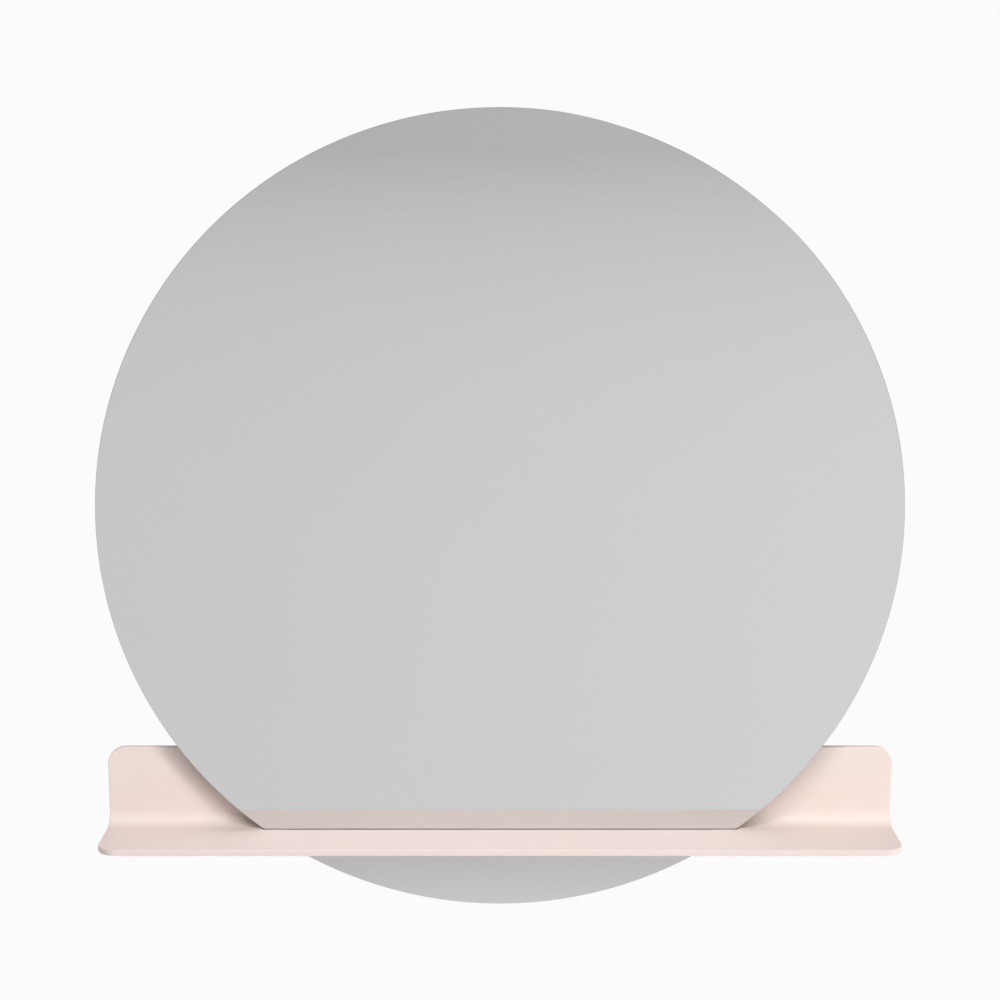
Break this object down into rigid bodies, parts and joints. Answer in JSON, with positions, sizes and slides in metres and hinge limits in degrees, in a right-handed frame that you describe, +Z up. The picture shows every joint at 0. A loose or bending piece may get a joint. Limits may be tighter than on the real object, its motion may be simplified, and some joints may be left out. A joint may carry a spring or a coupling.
{
  "type": "mirror with shelf",
  "caption": "Round frameless wall mirror that passes down through a slot in a folded, coved metal shelf, with a board and hanging cleats behind the glass.",
  "frame": {"origin": "centre of the flat rear face of the shelf's back plate, in the plane of the wall", "axes": "+X to the right as the viewer sees it, +Y back into the wall, +Z up"},
  "size_m": [0.8, 0.086, 0.8],
  "materials": {
    "powder_coat": "pale pink-white powder coat, matt to satin",
    "mirror": "silvered float glass with a polished edge",
    "silicone": "translucent moulded silicone",
    "board": "fibreboard with a sealed face",
    "foam_tape": "white acrylic foam tape",
    "cleat_aluminium": "natural anodised, extruded",
    "zinc_steel": "bright zinc plated",
    "rubber": "black moulded rubber"
  },
  "bodies": {
    "root": {"shelf": "powder_coat", "mirror_glass": "mirror", "slot_saddle_left": "silicone", "slot_saddle_right": "silicone", "backing_board": "board", "mounting_tape_1": "foam_tape", "mounting_tape_2": "foam_tape", "mounting_tape_3": "foam_tape", "mounting_tape_4": "foam_tape", "mounting_tape_5": "foam_tape", "mounting_tape_6": "foam_tape", "mirror_cleat": "cleat_aluminium", "wall_cleat": "cleat_aluminium", "cleat_screw_1": "zinc_steel", "cleat_screw_2": "zinc_steel", "cleat_screw_3": "zinc_steel", "cleat_screw_4": "zinc_steel", "glass_bumper_left": "rubber", "glass_bumper_right": "rubber", "wall_bumper_left": "rubber", "wall_bumper_right": "rubber"}
  },
  "joints": []
}
